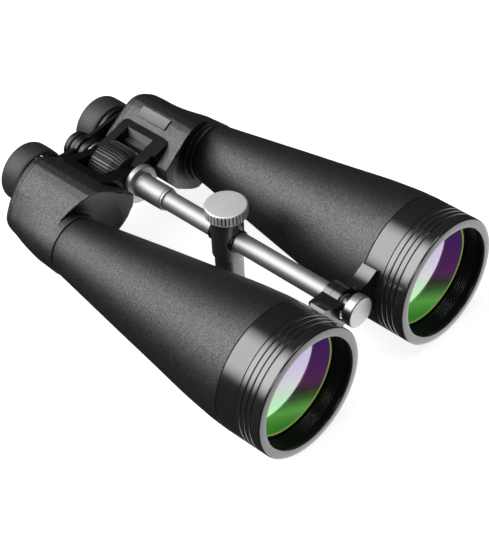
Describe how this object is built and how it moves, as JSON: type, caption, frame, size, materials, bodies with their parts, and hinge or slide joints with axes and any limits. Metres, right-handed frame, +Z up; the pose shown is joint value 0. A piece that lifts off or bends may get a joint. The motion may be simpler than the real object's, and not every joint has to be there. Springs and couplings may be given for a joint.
{
  "type": "binoculars",
  "caption": "Large-aperture Porro prism binoculars with tapered barrels, a folding centre hinge, central focus wheel and a sliding tripod post on a bright bar.",
  "frame": {"origin": "centre of the bounding box in X and Y, on the surface the objective rims and the post foot stand on (Z = 0)", "axes": "+Z up, +Y towards the eyepieces along the optical axes, +X towards the wearer's left half"},
  "size_m": [0.2294, 0.305, 0.094],
  "materials": {
    "barrel": "black pebbled paint",
    "objective_ring": "satin black anodised",
    "collar": "satin black anodised",
    "cell": "matte black anodised",
    "coated_glass": "green and purple multicoated glass",
    "flint_glass": "polished glass",
    "housing": "black pebbled paint",
    "cover": "satin black paint",
    "prism_glass": "polished glass",
    "shelf": "matte black",
    "strap": "spring steel",
    "bracket": "satin black paint",
    "guide": "satin black anodised",
    "eye_glass": "coated glass",
    "eyecup_rubber": "smooth black rubber",
    "arm": "satin black paint",
    "dioptre": "satin black, light scale marks",
    "badge": "brushed steel, plain",
    "bar_metal": "bright turned aluminium",
    "axle": "blackened steel",
    "wheel": "ribbed black",
    "rod_steel": "turned steel",
    "knob_metal": "bright turned aluminium",
    "bush": "dull black plastic",
    "post": "satin black anodised"
  },
  "bodies": {
    "spine": {"centre_bar": "bar_metal", "bar_sleeve": "bar_metal", "hinge_axle": "axle", "axle_washer": "bar_metal"},
    "left_half": {"barrel_left": "barrel", "objective_ring_left": "objective_ring", "bridge_collar_left": "collar", "objective_cell_left": "cell", "objective_crown_left": "coated_glass", "objective_flint_left": "flint_glass", "objective_retainer_left": "cell", "prism_housing_left": "housing", "rear_cover_left": "cover", "rear_prism_left": "prism_glass", "front_prism_left": "prism_glass", "prism_shelf_left": "shelf", "prism_strap_left": "strap", "hinge_bracket_left": "bracket", "eyepiece_guide_left": "guide", "badge_plate": "badge"},
    "right_half": {"barrel_right": "barrel", "objective_ring_right": "objective_ring", "bridge_collar_right": "collar", "objective_cell_right": "cell", "objective_crown_right": "coated_glass", "objective_flint_right": "flint_glass", "objective_retainer_right": "cell", "prism_housing_right": "housing", "rear_cover_right": "cover", "rear_prism_right": "prism_glass", "front_prism_right": "prism_glass", "prism_shelf_right": "shelf", "prism_strap_right": "strap", "hinge_bracket_right": "bracket", "eyepiece_guide_right": "guide"},
    "focus_wheel": {"focus_wheel": "wheel"},
    "focus_hub": {"focus_rod": "rod_steel", "bridge_hub": "arm", "hub_spacer": "arm"},
    "left_eyepiece": {"bridge_arm_left": "arm", "ocular_tube_left": "guide", "field_lens_left": "eye_glass", "eye_lens_left": "eye_glass", "eyecup_left": "eyecup_rubber", "eyepiece_collar_left": "guide"},
    "right_carrier": {"bridge_arm_right": "arm"},
    "right_eyepiece": {"ocular_tube_right": "guide", "field_lens_right": "eye_glass", "eye_lens_right": "eye_glass", "eyecup_right": "eyecup_rubber"},
    "dioptre": {"dioptre_ring": "dioptre"},
    "front_knob": {"front_knob": "knob_metal"},
    "post_slider": {"post_bush": "bush"},
    "post": {"tripod_post": "post"},
    "lock_knob": {"lock_knob": "knob_metal"},
    "clamp_shoe": {"clamp_shoe": "rod_steel"}
  },
  "joints": [
    {"name": "left_fold", "type": "hinge", "parent": "spine", "child": "left_half", "pos_m": [0, 0, 0.058], "axis": [0, 1, 0], "range_deg": [0, 24]},
    {"name": "right_fold", "type": "hinge", "parent": "spine", "child": "right_half", "pos_m": [0, 0, 0.058], "axis": [0, 1, 0], "range_deg": [-24, 0]},
    {"name": "focus_turn", "type": "hinge", "parent": "spine", "child": "focus_wheel", "pos_m": [0, 0, 0.058], "axis": [0, 1, 0], "range_deg": [-36, 285]},
    {"name": "hub_slide", "type": "slide", "parent": "spine", "child": "focus_hub", "axis": [0, 1, 0], "range_m": [-0.00077, 0.0063]},
    {"name": "left_eye_slide", "type": "slide", "parent": "left_half", "child": "left_eyepiece", "axis": [0, 1, 0], "range_m": [-0.0008, 0.0064]},
    {"name": "right_eye_slide", "type": "slide", "parent": "right_half", "child": "right_carrier", "axis": [0, 1, 0], "range_m": [-0.0008, 0.0064]},
    {"name": "dioptre_slide", "type": "slide", "parent": "right_carrier", "child": "right_eyepiece", "axis": [0, 1, 0], "range_m": [-0.001, 0.001]},
    {"name": "dioptre_turn", "type": "hinge", "parent": "right_eyepiece", "child": "dioptre", "pos_m": [-0.0362, 0, 0.0494], "axis": [0, 1, 0], "range_deg": [-60, 60]},
    {"name": "front_knob_turn", "type": "hinge", "parent": "spine", "child": "front_knob", "pos_m": [0, 0, 0.058], "axis": [0, 1, 0], "range_deg": [0, 180]},
    {"name": "post_slide", "type": "slide", "parent": "spine", "child": "post_slider", "axis": [0, 1, 0], "range_m": [-0.035, 0.036]},
    {"name": "post_swing", "type": "hinge", "parent": "post_slider", "child": "post", "pos_m": [0, 0, 0.058], "axis": [0, 1, 0], "range_deg": [-6, 6]},
    {"name": "lock_turn", "type": "hinge", "parent": "post", "child": "lock_knob", "pos_m": [0, -0.0169, 0.07], "axis": [0, 0, 1], "range_deg": [0, 270]},
    {"name": "shoe_lift", "type": "slide", "parent": "post", "child": "clamp_shoe", "axis": [0, 0, 1], "range_m": [0, 0.0003]}
  ],
  "couplings": [
    {"joint": "right_fold", "follows": "left_fold", "ratio": -1},
    {"joint": "focus_turn", "follows": "hub_slide", "rad_per_m": 785.4},
    {"joint": "left_eye_slide", "follows": "hub_slide", "ratio": 1},
    {"joint": "right_eye_slide", "follows": "hub_slide", "ratio": 1},
    {"joint": "dioptre_slide", "follows": "dioptre_turn", "m_per_rad": 0.00095},
    {"joint": "shoe_lift", "follows": "lock_turn", "m_per_rad": 0.00006}
  ]
}
